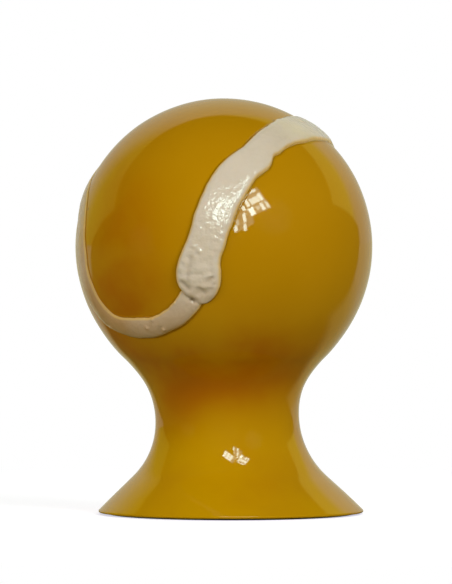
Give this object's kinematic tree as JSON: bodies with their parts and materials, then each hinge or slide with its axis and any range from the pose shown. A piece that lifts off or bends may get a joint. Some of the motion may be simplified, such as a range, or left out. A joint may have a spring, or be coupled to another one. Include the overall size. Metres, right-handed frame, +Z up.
{
  "type": "ball finial",
  "caption": "Glazed ceramic ball finial with a raised tennis-seam bead, that lifts off a sleeve and turns on a pinned base plate.",
  "frame": {"origin": "centre of the seat plane, on the finial's axis", "axes": "+Z up the axis from the seat to the ball, -Y out of the front, where the bead's ends lap"},
  "size_m": [0.0503, 0.0518, 0.07],
  "materials": {
    "mustard_glaze": "gloss",
    "cream_slip": "gloss",
    "felt": "matte",
    "nylon": "satin",
    "steel": "satin"
  },
  "bodies": {
    "post_fixing": {"base_plate": "steel", "post_pin": "steel", "pin_screw": "steel"},
    "sleeve": {"neck_sleeve": "nylon"},
    "finial": {"glazed_body": "mustard_glaze", "seam_bead": "cream_slip", "felt_ring": "felt"}
  },
  "joints": [
    {"name": "spin", "type": "hinge", "parent": "post_fixing", "child": "sleeve", "pos_m": [0, 0, 0], "axis": [0, 0, 1], "continuous": true},
    {"name": "lift_off", "type": "slide", "parent": "sleeve", "child": "finial", "axis": [0, 0, 1], "range_m": [0, 0.03]}
  ]
}
